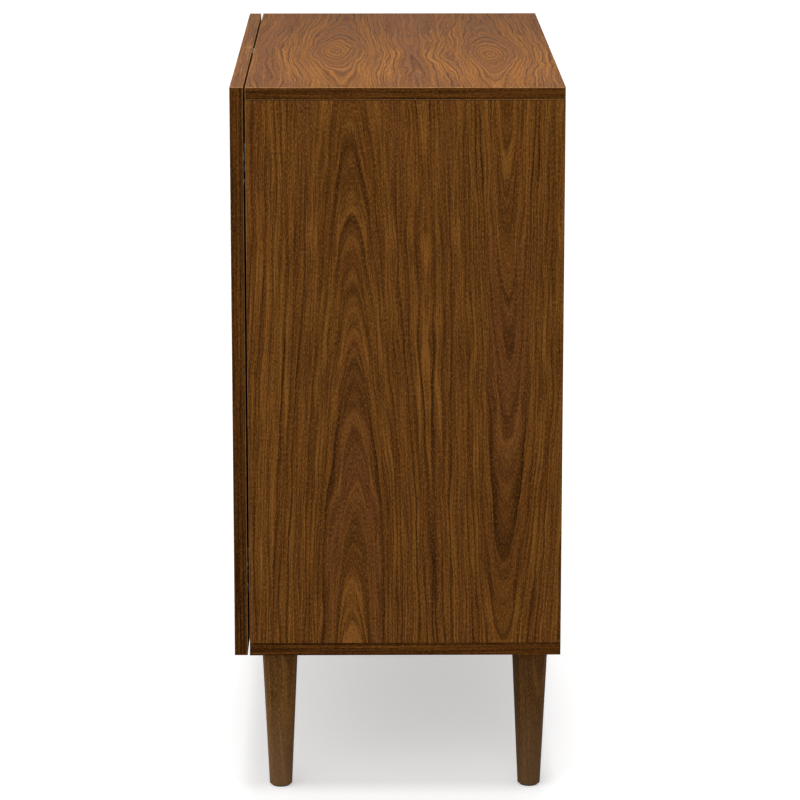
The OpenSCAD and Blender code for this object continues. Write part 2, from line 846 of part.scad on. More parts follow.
module hinge_arm_screws() {
    length = arm_u1 - panel_t - 1;
    color(zinc)
        for (side = [LEFT, RIGHT])
            on_side(side) at_hinges()
                for (v = arm_screw_vs)
                    translate([arm_u1, v, 0]) rotate([0, 90, 0]) {
                        cylinder(h = arm_screw_head_t, d = arm_screw_head_d);
                        translate([0, 0, -length]) cylinder(h = length, d = arm_screw_d);
                    }
}

module hinge_cup_screws(side) {
    color(zinc) on_side(side) at_hinges()
        for (w = [-cup_screw_w, cup_screw_w])
            translate([cup_screw_u, door_v - flange_t, w]) rotate([90, 0, 0])
                wood_screw(cup_screw_l + flange_t - wood_screw_seat);
}

top_panel();
top_panel_bands();
bottom_panel();
bottom_panel_bands();
side_panel(LEFT);  // side_panel_left
side_panel(RIGHT);  // side_panel_right
divider();
upright_bands();
back_panel();
shelf(LEFT, UPPER);  // shelf_left_upper
shelf(LEFT, MIDDLE);  // shelf_left_middle
shelf(LEFT, LOWER);  // shelf_left_lower
shelf(RIGHT, UPPER);  // shelf_right_upper
shelf(RIGHT, MIDDLE);  // shelf_right_middle
shelf(RIGHT, LOWER);  // shelf_right_lower
shelf_bands();
shelf_pins();
cam_locks();
cam_bolts();
dowels();
leg(-leg_x, leg_front_y);  // leg_front_left
leg(leg_x, leg_front_y);  // leg_front_right
leg(-leg_x, leg_back_y);  // leg_back_left
leg(leg_x, leg_back_y);  // leg_back_right
glide(-leg_x, leg_front_y);  // glide_front_left
glide(leg_x, leg_front_y);  // glide_front_right
glide(-leg_x, leg_back_y);  // glide_back_left
glide(leg_x, leg_back_y);  // glide_back_right
hanger_bolts();
tee_nuts();
door(LEFT);  // door_left
door(RIGHT);  // door_right
door_bands(LEFT);  // door_left_bands
door_bands(RIGHT);  // door_right_bands
door_bumpers(LEFT);  // door_left_bumpers
door_bumpers(RIGHT);  // door_right_bumpers
hinge_plate_at(LEFT, hinge_zs[1]);  // hinge_plate_left_upper
hinge_plate_at(LEFT, hinge_zs[0]);  // hinge_plate_left_lower
hinge_plate_at(RIGHT, hinge_zs[1]);  // hinge_plate_right_upper
hinge_plate_at(RIGHT, hinge_zs[0]);  // hinge_plate_right_lower
hinge_arm_at(LEFT, hinge_zs[1]);  // hinge_arm_left_upper
hinge_arm_at(LEFT, hinge_zs[0]);  // hinge_arm_left_lower
hinge_arm_at(RIGHT, hinge_zs[1]);  // hinge_arm_right_upper
hinge_arm_at(RIGHT, hinge_zs[0]);  // hinge_arm_right_lower
hinge_cup_at(LEFT, hinge_zs[1]);  // hinge_cup_left_upper
hinge_cup_at(LEFT, hinge_zs[0]);  // hinge_cup_left_lower
hinge_cup_at(RIGHT, hinge_zs[1]);  // hinge_cup_right_upper
hinge_cup_at(RIGHT, hinge_zs[0]);  // hinge_cup_right_lower
inner_links(LEFT);  // inner_links_left
inner_links(RIGHT);  // inner_links_right
outer_links(LEFT);  // outer_links_left
outer_links(RIGHT);  // outer_links_right
hinge_arm_pins();
hinge_cup_pins(LEFT);  // hinge_cup_pins_left
hinge_cup_pins(RIGHT);  // hinge_cup_pins_right
hinge_plate_screws();
hinge_arm_screws();
hinge_cup_screws(LEFT);  // hinge_cup_screws_left
hinge_cup_screws(RIGHT);  // hinge_cup_screws_right
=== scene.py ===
import json
import math
import bpy
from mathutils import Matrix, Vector

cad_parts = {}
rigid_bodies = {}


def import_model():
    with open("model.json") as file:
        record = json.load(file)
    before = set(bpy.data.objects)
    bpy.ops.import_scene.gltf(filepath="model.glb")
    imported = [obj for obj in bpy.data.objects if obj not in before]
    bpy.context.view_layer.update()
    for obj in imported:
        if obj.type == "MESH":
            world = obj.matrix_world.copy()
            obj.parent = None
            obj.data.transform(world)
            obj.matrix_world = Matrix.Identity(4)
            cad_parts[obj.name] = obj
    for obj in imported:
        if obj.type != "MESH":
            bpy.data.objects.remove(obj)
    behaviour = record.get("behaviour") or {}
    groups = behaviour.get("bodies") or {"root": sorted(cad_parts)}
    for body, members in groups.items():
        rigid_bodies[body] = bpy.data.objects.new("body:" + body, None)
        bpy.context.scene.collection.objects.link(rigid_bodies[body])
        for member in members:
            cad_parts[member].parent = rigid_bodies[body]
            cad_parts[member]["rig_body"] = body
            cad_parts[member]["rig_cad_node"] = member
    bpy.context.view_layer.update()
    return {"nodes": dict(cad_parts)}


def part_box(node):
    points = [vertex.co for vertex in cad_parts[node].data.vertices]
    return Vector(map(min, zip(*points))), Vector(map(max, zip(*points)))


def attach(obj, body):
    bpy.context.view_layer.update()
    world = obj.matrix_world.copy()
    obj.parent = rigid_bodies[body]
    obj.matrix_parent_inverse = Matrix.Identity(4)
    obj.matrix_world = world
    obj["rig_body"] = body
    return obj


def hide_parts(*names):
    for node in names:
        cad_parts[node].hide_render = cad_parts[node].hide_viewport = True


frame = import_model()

scene = bpy.context.scene
scene.view_settings.view_transform = "Standard"
nodes = frame["nodes"]

# ---------------------------------------------------------------------------
# Small helpers
# ---------------------------------------------------------------------------

# millimetres in a metre: patterns are drawn in mm
MM = 1000
# a cloudy pattern's values hardly leave this range
CLOUD_LOW = 0.3
CLOUD_HIGH = 0.7


def linear(code):
    """The linear colour of an sRGB hex value such as '#6A4526'."""
    parts = [int(code[i:i + 2], 16) / 255 for i in (1, 3, 5)]
    curve = [p / 12.92 if p <= 0.04045 else ((p + 0.055) / 1.055) ** 2.4 for p in parts]
    return (*curve, 1.0)


def add_node(tree, kind, inputs=(), stops=(), **settings):
    """Adds one node with its settings, its input values or links, and a ramp's stops.

    Inputs go by name or by number. A Map Range node's are 0 for the value, 1 and 2 for
    the range it comes from, 3 and 4 for the range it goes to. A colour Mix node's are
    0 for the share, 6 and 7 for the two colours.
    """
    node = tree.nodes.new(kind)
    for setting, value in settings.items():
        setattr(node, setting, value)
    for socket, value in dict(inputs).items():
        if isinstance(value, bpy.types.Node):
            value = value.outputs[0]
        if isinstance(value, bpy.types.NodeSocket):
            tree.links.new(value, node.inputs[socket])
        else:
            node.inputs[socket].default_value = value
    for index, (place, code) in enumerate(stops):
        elements = node.color_ramp.elements
        element = elements[index] if index < 2 else elements.new(place)
        element.position = place
        element.color = linear(code)
    return node


def start_material(name, **sockets):
    """A new material and its shader, with the constant sockets set on the shader."""
    material = bpy.data.materials.new(name)
    material.use_nodes = True
    shader = material.node_tree.nodes["Principled BSDF"]
    for socket, value in sockets.items():
        shader.inputs[socket.replace("_", " ")].default_value = value
    return material, material.node_tree, shader


# ---------------------------------------------------------------------------
# Walnut
# ---------------------------------------------------------------------------

# Ways that a grain runs: the direction across it and the direction along it. In a
# board a share of the thickness counts too, so its two faces differ. Bands that turn
# corners have a grain that runs along two directions at once.
UPRIGHT_SIDE = ((0.4, 1, 0), (0, 0, 1))
UPRIGHT_FRONT = ((1, 0.4, 0), (0, 0, 1))
SIDEWAYS_TOP = ((0, 1, 0.4), (1, 0, 0))
ROUND_A_PANEL = ((0, 0, 1), (1, 1, 0))
ROUND_A_DOOR = ((0, 1, 0), (1, 0, 1))
ROUND_A_LEG = ((0.8, 0.6, 0), (0, 0, 1))

# Sizes in the wood, in mm across the grain and along it: the trunk's slow waver, the
# ripples of its fibres, stretches of uneven years, the fading of dark lines, streaks
# of colour and fine dark hairs
WAVER = (95, 430)
RIPPLE = (15, 90)
UNEVEN = (45, 900)
FADING = (30, 160)
STREAK = (2.3, 180)
HAIR = (1.3, 60)
# open pores, coarser than the real 0.3 mm so that they show
PORE = (1.1, 3.6)
# a patch of heart is this many times as long as it is wide
HEART_LENGTH = 27
# mm over which two figures run into each other
FIGURE_BLEND = 14
# most years that an uneven stretch adds
UNEVEN_YEARS = 5
# part of a year by which its dark line starts, is darkest, begins to end and has ended
LINE_STARTS = 0.35
LINE_DARKEST = 0.9
LINE_ENDS = 0.92
LINE_ENDED = 1.0
# how sharply a line darkens, and how much of one is left where it has faded most
LINE_SHARPNESS = 2.5
LINE_LEFT = 0.25
# relief of the grain under the lacquer, in mm, and how much of it the lacquer leaves
RELIEF = 0.08
RELIEF_LEFT = 0.35
# matt lacquer throws back very little of a lamp
LACQUER_SPECULAR = 0.014
# painted light: height in mm below which a leg is painted paler, as if lit by the floor, and the
# share of that paler colour at the floor
FLOOR_LIGHT_HEIGHT = 120
FLOOR_LIGHT_SHARE = 0.4

BODY_TONES = {
    "streaks": [(0.28, "#48270B"), (0.43, "#5F3813"), (0.57, "#6F4519"), (0.74, "#865525")],
    "heart": "#522A1C", "late": "#251102", "pore": "#331B07", "bright": "#966730"}
TOP_TONES = {
    "streaks": [(0.26, "#4C2A07"), (0.42, "#643A09"), (0.58, "#74450D"), (0.74, "#8C5A19")],
    "heart": "#4C2919", "late": "#241003", "pore": "#3C1E0A", "bright": "#9A662B"}
BAND_TONES = {
    "streaks": [(0.30, "#331A05"), (0.44, "#4C2C0C"), (0.58, "#5E3711"), (0.74, "#764718")],
    "heart": "#3C220E", "late": "#180A02", "pore": "#261304", "bright": "#805020"}
# painted shade: the dark gap of a joint between panels, in the band's tones made much darker
JOINT_SHADE_TONES = {
    **BAND_TONES,
    "streaks": [(0.30, "#140802"), (0.44, "#1E0D03"), (0.58, "#281405"), (0.74, "#351C08")]}
# painted highlight: a pale tone for the eased arris, where the light catches it
ARRIS_HIGHLIGHT_TONES = {
    "streaks": [(0.30, "#7C5630"), (0.44, "#8E673D"), (0.58, "#A0794C"), (0.74, "#B18B5E")],
    "heart": "#86603A", "late": "#6A4524", "pore": "#6A4524", "bright": "#C09B6E"}
LEG_TONES = {
    "streaks": [(0.28, "#482D11"), (0.43, "#593918"), (0.57, "#66431D"), (0.74, "#7A542C")],
    "heart": "#452B15", "late": "#2C190B", "pore": "#2A1809", "bright": "#8B6637"}
# painted shade: the back legs are darkened, as if in the body's shade
BACK_LEG_SHADE_TONES = {
    "streaks": [(0.28, "#39230D"), (0.43, "#472D13"), (0.57, "#523517"), (0.74, "#624323")],
    "heart": "#372211", "late": "#241408", "pore": "#231307", "bright": "#6F522C"}


def walnut(name, way, seed, tones, centre=(0, 0, 0), figures=(),
           sway=20, ripple=6, year=7, line=0.95, hair=0.5, speck=0.6, heart=26,
           stretch=1, rough=0.55, floor_light_colour=None):
    """Walnut under matt lacquer, sliced for veneer and edge bands or turned solid.

    The grain runs as the yearly rings run where the cut meets them: straight in
    the quarter, and in stacked arches round each figure. Each year ends in a thin
    dark line. Between these lie fine streaks, purple-brown heart and short pores.

    Centre is the point in metres that figures are measured from. A figure is given by
    its middle, across and along the grain in mm, how deep the cut gets into the rings
    for each mm along, how deep at most in mm, and the power of its arches, where 2 is
    round and less is more pointed. Sway and ripple are how far the grain wavers, year
    the width of a year and heart that of a patch of heart, in mm. Line, hair and speck
    say how strongly the dark lines, the hairs and the pores show, and stretch how much
    longer than usual the streaks run. Rough is the lacquer's roughness. The last
    argument is a colour of painted light: towards the floor a leg is painted paler in
    it, as if lit by the light that the floor throws back.
    """
    material, tree, shader = start_material(name, Specular_IOR_Level=LACQUER_SPECULAR)
    place = add_node(tree, "ShaderNodeTexCoord").outputs["Object"]
    grain = add_node(tree, "ShaderNodeMapping", {
        "Vector": place, "Location": [-MM * c for c in centre], "Scale": (MM, MM, MM)})
    across, along = [
        add_node(tree, "ShaderNodeVectorMath", {0: grain, 1: direction},
                 operation="DOT_PRODUCT").outputs["Value"] for direction in way]

    def drawn_out(source, offset, size, detail, soft=0.5):
        """A cloudy pattern drawn out along the grain, its size in mm across and along."""
        wide, long = size
        spot = add_node(tree, "ShaderNodeCombineXYZ", {0: source, 1: offset, 2: along})
        spot = add_node(tree, "ShaderNodeMapping", {
            "Vector": spot, "Scale": (1 / wide, 1, 1 / long)})
        return add_node(tree, "ShaderNodeTexNoise", {
            "Vector": spot, "Scale": 1, "Detail": detail, "Roughness": soft})

    # the trunk's slow waver and the short ripples of its fibres, in mm
    for shift, size, detail in ((sway, WAVER, 3), (ripple, RIPPLE, 2)):
        waver = drawn_out(across, seed, size, detail)
        waver = add_node(tree, "ShaderNodeMath", {0: waver, 1: shift, 2: -shift / 2},
                         operation="MULTIPLY_ADD")
        across = add_node(tree, "ShaderNodeMath", {0: across, 1: waver}, operation="ADD")

    # distance from the trunk's centre, figure by figure, in mm
    rings = across
    for at, start, rise, reach, power in figures:
        slope = rise / reach
        beside = add_node(tree, "ShaderNodeMath", {0: across, 1: at}, operation="SUBTRACT")
        beside = add_node(tree, "ShaderNodeMath", {0: beside}, operation="ABSOLUTE")
        beside = add_node(tree, "ShaderNodeMath", {0: beside, 1: power}, operation="POWER")
        beyond = add_node(tree, "ShaderNodeMath", {0: along, 1: slope, 2: -slope * start},
                          operation="MULTIPLY_ADD")
        beyond = add_node(tree, "ShaderNodeMath", {0: beyond}, operation="TANH")
        beyond = add_node(tree, "ShaderNodeMath", {0: beyond, 1: reach}, operation="MULTIPLY")
        beyond = add_node(tree, "ShaderNodeMath", {0: beyond}, operation="ABSOLUTE")
        beyond = add_node(tree, "ShaderNodeMath", {0: beyond, 1: power}, operation="POWER")
        depth = add_node(tree, "ShaderNodeMath", {0: beside, 1: beyond}, operation="ADD")
        depth = add_node(tree, "ShaderNodeMath", {0: depth, 1: 1 / power}, operation="POWER")
        if rings is across:
            rings = depth
        else:
            rings = add_node(tree, "ShaderNodeMath", {0: rings, 1: depth, 2: FIGURE_BLEND},
                             operation="SMOOTH_MIN")

    # years of uneven width, each ending in a dark line of its own strength; from here on
    # every pattern has its own multiple of the seed, so that none repeats another
    uneven = drawn_out(rings, seed * 3, UNEVEN, 1)
    uneven = add_node(tree, "ShaderNodeMath", {0: uneven, 1: UNEVEN_YEARS}, operation="MULTIPLY")
    years = add_node(tree, "ShaderNodeMath", {0: rings, 1: 1 / year, 2: uneven},
                     operation="MULTIPLY_ADD")
    part = add_node(tree, "ShaderNodeMath", {0: years}, operation="FRACT")
    count = add_node(tree, "ShaderNodeMath", {0: years}, operation="FLOOR")
    own = add_node(tree, "ShaderNodeTexWhiteNoise", {"W": count},
                   noise_dimensions="1D").outputs["Value"]
    growing = add_node(tree, "ShaderNodeMapRange", {
        0: part, 1: LINE_STARTS, 2: LINE_DARKEST, 3: 0, 4: 1}, interpolation_type="SMOOTHSTEP")
    ending = add_node(tree, "ShaderNodeMapRange", {
        0: part, 1: LINE_ENDS, 2: LINE_ENDED, 3: 1, 4: 0}, interpolation_type="SMOOTHSTEP")
    growing = add_node(tree, "ShaderNodeMath", {0: growing, 1: LINE_SHARPNESS},
                       operation="POWER")
    late = add_node(tree, "ShaderNodeMath", {0: growing, 1: ending}, operation="MULTIPLY")
    # a line fades and comes back along the grain
    fading = add_node(tree, "ShaderNodeMapRange", {
        0: drawn_out(rings, seed * 4, FADING, 1), 1: 0.35, 2: 0.6, 3: LINE_LEFT, 4: 1})
    own = add_node(tree, "ShaderNodeMath", {0: own, 1: 0.8}, operation="POWER")
    fading = add_node(tree, "ShaderNodeMath", {0: fading, 1: own}, operation="MULTIPLY")
    late = add_node(tree, "ShaderNodeMath", {0: late, 1: fading}, operation="MULTIPLY")
    late = add_node(tree, "ShaderNodeMath", {0: late, 1: line}, operation="MULTIPLY")

    streaks = drawn_out(rings, seed * 5, (STREAK[0], STREAK[1] * stretch), 2, 0.65)
    patches = drawn_out(rings, seed * 6, (heart, heart * HEART_LENGTH), 1.5)
    hairs = drawn_out(rings, seed * 7, (HAIR[0], HAIR[1] * stretch), 1, 0.6)
    # pores are long along the grain and narrow the other two ways
    pores = add_node(tree, "ShaderNodeMapping", {
        "Vector": grain, "Location": (seed, seed, seed),
        "Scale": [1 / PORE[1] if step else 1 / PORE[0] for step in way[1]]})
    pores = add_node(tree, "ShaderNodeTexNoise", {
        "Vector": pores, "Scale": 1, "Detail": 1, "Roughness": 0.6})

    # each layer's tone, its pattern, where in the pattern it starts and where it is
    # full, and how much of it shows there
    tint = add_node(tree, "ShaderNodeValToRGB", {0: streaks}, stops=tones["streaks"]).outputs[0]
    for tone, source, starts, full, most in (
            ("heart", patches, 0.50, 0.70, 0.5),
            ("late", late, 0.0, 1.0, 1.0),
            ("late", hairs, 0.46, 0.66, hair),
            ("bright", pores, 0.48, 0.30, speck / 2),
            ("pore", pores, 0.50, 0.70, speck)):
        share = add_node(tree, "ShaderNodeMapRange", {
            0: source, 1: starts, 2: full, 3: 0, 4: most})
        tint = add_node(tree, "ShaderNodeMix", {
            0: share, 6: tint, 7: linear(tones[tone])}, data_type="RGBA").outputs[2]
    # the last layer is the pores, and they are sunk into the surface
    pits = share
    # painted light: towards the floor the leg is painted paler, as if lit by the light that the
    # floor throws back
    if floor_light_colour:
        height = add_node(tree, "ShaderNodeSeparateXYZ", {0: grain}).outputs["Z"]
        painted_floor_light = add_node(tree, "ShaderNodeMapRange", {
            0: height, 1: FLOOR_LIGHT_HEIGHT, 2: 0, 3: 0, 4: FLOOR_LIGHT_SHARE})
        tint = add_node(tree, "ShaderNodeMix", {
            0: painted_floor_light, 6: tint, 7: linear(floor_light_colour)}, data_type="RGBA").outputs[2]
    tree.links.new(tint, shader.inputs["Base Color"])
    # pale streaks are a little smoother than dark ones
    sheen = add_node(tree, "ShaderNodeMapRange", {
        0: streaks, 1: CLOUD_LOW, 2: CLOUD_HIGH, 3: rough + 0.05, 4: rough - 0.04})
    tree.links.new(sheen.outputs[0], shader.inputs["Roughness"])
    sunk = add_node(tree, "ShaderNodeMath", {0: pits, 1: late}, operation="ADD")
    relief = add_node(tree, "ShaderNodeMath", {0: streaks, 1: sunk}, operation="SUBTRACT")
    bump = add_node(tree, "ShaderNodeBump", {
        "Strength": RELIEF_LEFT, "Distance": RELIEF / MM, "Height": relief})
    tree.links.new(bump.outputs[0], shader.inputs["Normal"])
    return material


# figures are measured from the floor under the cabinet's middle, moved into the plane
# of the face that they lie on
right_face = (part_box("side_panel_right")[1].x, 0, 0)
left_face = (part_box("side_panel_left")[0].x, 0, 0)
top_face = (0, 0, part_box("top_panel")[1].z)
front_face = (0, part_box("door_left")[0].y, 0)

# sliced walnut veneer: broad arches in mid brown, quiet between them
side_right = walnut(
    "walnut veneer, matt lacquer, right side leaf", UPRIGHT_SIDE, 3.1, BODY_TONES, right_face,
    [(-54, 60, 0.087, 75, 2.0), (133, 1000, 0.064, 75, 1.9)], sway=26, ripple=10)
side_left = walnut(
    "walnut veneer, matt lacquer, left side leaf", UPRIGHT_SIDE, 23.1, BODY_TONES, left_face,
    [(-70, 980, 0.08, 75, 1.9), (110, 80, 0.07, 75, 2.0)])
door_leaf = walnut(
    "walnut veneer, matt lacquer, door leaf", UPRIGHT_FRONT, 5.7, BODY_TONES, front_face,
    [(-215, 40, 0.085, 75, 2.0), (190, 80, 0.08, 75, 1.9)])
# the top's leaf is a little paler and more golden, and has narrower years, so its
# lines stand closer; its paleness is partly painted light, for a top that faces the lamps
top_leaf = walnut(
    "walnut veneer, matt lacquer, top leaf", SIDEWAYS_TOP, 9.4, TOP_TONES, top_face,
    [(-70, 30, 0.20, 36, 1.8), (118, 75, 0.20, 34, 1.8)],
    sway=44, ripple=12, year=4.6, line=1.3, stretch=2.5)
# plain quarter-cut veneer inside and underneath: straight lines only
upright = walnut(
    "walnut veneer, matt lacquer, upright", UPRIGHT_SIDE, 12.9, BODY_TONES)
sideways = walnut(
    "walnut veneer, matt lacquer, sideways", SIDEWAYS_TOP, 17.3, BODY_TONES)
# narrow bands cut along the grain: darker than the faces, with close straight lines
panel_band = walnut(
    "walnut edge band, matt, round a panel", ROUND_A_PANEL, 31.7, BAND_TONES,
    sway=2, ripple=0.6, year=4, line=1.3, heart=8)
door_band = walnut(
    "walnut edge band, matt, round a door", ROUND_A_DOOR, 37.9, BAND_TONES,
    sway=4, ripple=1.5, year=4.4, line=1.2, heart=6)
upright_band = walnut(
    "walnut edge band, matt, upright", UPRIGHT_FRONT, 41.3, BAND_TONES,
    sway=4, ripple=1, year=4.2)
# painted light: the upper faces of bands take the body's paler tones, as if lit from above
lit_upper_band = walnut(
    "walnut edge band, matt, upper faces painted as lit", ROUND_A_DOOR, 43.9, BODY_TONES,
    sway=5, ripple=2, year=5.5)
# painted highlight: a thin pale line runs along the arris, as if the light caught it
arris_highlight = walnut(
    "walnut edge band, painted highlight on the arris", ROUND_A_DOOR, 53.3, ARRIS_HIGHLIGHT_TONES,
    sway=4, ripple=1, year=4)
# painted shade: a joint is drawn as a dark line on its eased edges, standing in for the shade in
# its gap
joint_shade = walnut(
    "walnut veneer, painted shade in the joints", ROUND_A_DOOR, 59.1, JOINT_SHADE_TONES,
    sway=4, ripple=1, year=4)
# end grain and flat grain meet round a turning, so its rings read as short flecks
TURNED = {"sway": 10, "ripple": 4, "year": 9, "line": 0.12, "hair": 0.2, "rough": 0.45}
# painted light: both leg woods turn paler towards the floor, as if lit by the light that the
# floor throws back
leg_wood = walnut(
    "turned solid walnut, dark stain, satin", ROUND_A_LEG, 47.1, LEG_TONES,
    floor_light_colour="#85684C", **TURNED)
# painted shade: the back legs take darker tones, as if the body shaded them
back_leg_shaded_wood = walnut(
    "turned solid walnut, painted shade, satin", ROUND_A_LEG, 49.3, BACK_LEG_SHADE_TONES,
    floor_light_colour="#785C42", **TURNED)


# ---------------------------------------------------------------------------
# Other finishes
# ---------------------------------------------------------------------------

def mottled(name, stops, size, rough, depth, **sockets):
    """A finish that is mottled finely: size is the mottling's in mm on each axis,
    rough the roughness of its dark and light parts, depth its relief in mm."""
    material, tree, shader = start_material(name, **sockets)
    place = add_node(tree, "ShaderNodeTexCoord").outputs["Object"]
    grain = add_node(tree, "ShaderNodeMapping", {
        "Vector": place, "Scale": [MM / length for length in size]})
    mottle = add_node(tree, "ShaderNodeTexNoise", {
        "Vector": grain, "Scale": 1, "Detail": 6, "Roughness": 0.7})
    tint = add_node(tree, "ShaderNodeValToRGB", {0: mottle}, stops=stops)
    tree.links.new(tint.outputs[0], shader.inputs["Base Color"])
    sheen = add_node(tree, "ShaderNodeMapRange", {
        0: mottle, 1: CLOUD_LOW, 2: CLOUD_HIGH, 3: rough[0], 4: rough[1]})
    tree.links.new(sheen.outputs[0], shader.inputs["Roughness"])
    bump = add_node(tree, "ShaderNodeBump", {
        "Strength": 0.5, "Distance": depth / MM, "Height": mottle})
    tree.links.new(bump.outputs[0], shader.inputs["Normal"])
    return material


# pressed wood fibres under thin brown paint: soft flecks, no direction, drawn as
# clumps of fibres because single ones are too fine to show
hardboard = mottled(
    "hardboard, brown paint", [(0.30, "#5B4029"), (0.50, "#674A30"), (0.70, "#745539")],
    size=(14, 14, 14), rough=(0.6, 0.75), depth=0.04, Specular_IOR_Level=0.2)
# pale, even wood with short fibres along the peg
beech = mottled(
    "beech, fluted dowel", [(0.30, "#A87C50"), (0.50, "#BC9163"), (0.70, "#CDA578")],
    size=(0.8, 0.8, 9), rough=(0.55, 0.7), depth=0.03)
# pressed steel under nickel: grey with a little warmth, softly streaked by the
# rolling, whose lines are drawn coarser than they are so that they show
nickel = mottled(
    "nickel-plated steel, rolled", [(0.30, "#7C776F"), (0.50, "#8E8981"), (0.70, "#A29D94")],
    size=(0.5, 0.5, 5), rough=(0.4, 0.5), depth=0.004, Metallic=1.0)
# cast alloy, tumbled: duller and bluer than the nickel, with a pitted skin, whose
# pits are drawn coarser than they are so that they show
zinc = mottled(
    "zinc alloy, cast and tumbled", [(0.30, "#7E8082"), (0.50, "#929496"), (0.70, "#A6A8AA")],
    size=(0.7, 0.7, 0.7), rough=(0.42, 0.55), depth=0.02, Metallic=1.0)
# waxy black plastic, scuffed a little paler, its faint moulded skin drawn coarser
# than it is so that it shows
glide_plastic = mottled(
    "polyethylene, moulded, black", [(0.30, "#171615"), (0.55, "#22201F"), (0.75, "#36332F")],
    size=(1.6, 1.6, 1.6), rough=(0.42, 0.6), depth=0.03)
# soft clear pads, so they take most of their colour from the wood behind them
bumper = mottled(
    "polyurethane pad, clear, domed", [(0.30, "#4C3520"), (0.50, "#5A412A"), (0.70, "#694E35")],
    size=(1.2, 1.2, 1.2), rough=(0.4, 0.5), depth=0.01, Specular_IOR_Level=0.2)


# ---------------------------------------------------------------------------
# Pieces
# ---------------------------------------------------------------------------

# what lies closer than this touches, in metres
TOUCH = 0.00005
# the finger grip's middle above the door's middle, and its radius, in metres
GRIP_RISE = 0.080
GRIP_RADIUS = 0.020
# how far beyond that radius an edge still belongs to the grip
GRIP_SLACK = 0.0003
# loose corners of a CAD mesh that lie closer than this are one, in metres
MERGE = 0.000002
# in degrees: faces that turn by less are one flat face, edges that turn by less are
# shaded smooth, and edges that turn by more are eased
FLAT = 0.4
SMOOTH = 32
SHARP = 40


def corner_of_box(spot, low, high):
    """Whether a spot lies on two faces of a box, as the outer edges of a ring do."""
    return sum(min(abs(spot[a] - low[a]), abs(spot[a] - high[a])) < TOUCH for a in range(3)) == 2


def door_edge(spot, low, high):
    """The outer edges of a door's bands, with those round the finger grip."""
    grip_height = (low.z + high.z) / 2 + GRIP_RISE
    grip = math.hypot(spot.x, spot.z - grip_height) < GRIP_RADIUS + GRIP_SLACK
    face = min(spot.y - low.y, high.y - spot.y) < TOUCH
    return corner_of_box(spot, low, high) or grip and face


def front_edge(spot, low, high):
    """The edges on a strip's front, where no panel lies against it."""
    return spot.y - low.y < TOUCH


def side_joint(spot, low, high):
    """The ends of a side panel's outer face, where it meets the other panels."""
    outer = max(abs(low.x), abs(high.x)) - abs(spot.x) < TOUCH
    return outer and min(spot.z - low.z, high.z - spot.z) < TOUCH


def eased_copy(node, edge, material, bend=None, where=None):
    """A merged copy of a CAD node with its sharp edges eased by a small round, in mm.

    The rounds take the bend material where one is given, and where tells which
    edges are eased, if not all the sharp ones.
    """
    source = nodes[node]
    bpy.ops.object.select_all(action="DESELECT")
    source.select_set(True)
    bpy.context.view_layer.objects.active = source
    bpy.ops.object.duplicate()
    piece = bpy.context.object
    bpy.ops.object.parent_clear(type="CLEAR_KEEP_TRANSFORM")
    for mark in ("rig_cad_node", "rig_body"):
        if mark in piece:
            del piece[mark]
    piece.name = node + "_finished"
    if piece.data.has_custom_normals:
        bpy.ops.mesh.customdata_custom_splitnormals_clear()
    bpy.ops.object.mode_set(mode="EDIT")
    bpy.ops.mesh.select_all(action="SELECT")
    bpy.ops.mesh.remove_doubles(threshold=MERGE)
    bpy.ops.mesh.dissolve_limited(angle_limit=math.radians(FLAT))
    bpy.ops.object.mode_set(mode="OBJECT")
    bpy.ops.object.shade_smooth_by_angle(angle=math.radians(SMOOTH))
    piece.data.materials.clear()
    piece.data.materials.append(material)
    piece.data.materials.append(bend or material)
    round_edge = piece.modifiers.new("eased edges", "BEVEL")
    round_edge.material = 1
    round_edge.width = edge / MM
    round_edge.segments = 2
    round_edge.limit_method = "ANGLE"
    round_edge.angle_limit = math.radians(SHARP)
    if where:
        round_edge.limit_method = "WEIGHT"
        weights = piece.data.attributes.new("bevel_weight_edge", "FLOAT", "EDGE")
        spots = [vertex.co for vertex in piece.data.vertices]
        low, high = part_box(node)
        for line in piece.data.edges:
            one, other = line.vertices
            if where((spots[one] + spots[other]) / 2, low, high):
                weights.data[line.index].value = 1.0
    round_edge.use_clamp_overlap = False
    round_edge.harden_normals = True
    bpy.ops.object.modifier_apply(modifier=round_edge.name)
    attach(piece, source["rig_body"])
    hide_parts(node)
    return piece


# Single nodes: the easing in mm, the material and its slot, the material of the eased
# edges, and which edges these are
for node, edge, material, slot, bend, where in (
        ("side_panel_right", 0.6, side_right, "veneer_body", joint_shade, side_joint),
        ("side_panel_left", 0.6, side_left, "veneer_body", joint_shade, side_joint),
        ("upright_bands", 0.5, upright_band, "edge_band", arris_highlight, front_edge),
        ("shelf_bands", 0.4, panel_band, "edge_band", arris_highlight, front_edge),
        ("top_panel_bands", 0.6, panel_band, "edge_band", arris_highlight, corner_of_box),
        ("bottom_panel_bands", 0.4, panel_band, "edge_band", joint_shade, corner_of_box),
        ("door_right_bands", 0.5, door_band, "edge_band", arris_highlight, door_edge),
        ("door_left_bands", 0.5, door_band, "edge_band", arris_highlight, door_edge)):
    piece = eased_copy(node, edge, material, bend, where)
    if bend is arris_highlight and where is not front_edge:
        # painted light: faces that look up lie beside the top leaf and are painted nearly as
        # pale, as if lit from above
        piece.data.materials.append(lit_upper_band)
        for face in piece.data.polygons:
            if face.normal.z > 0.95 and face.material_index == 0:
                face.material_index = 2

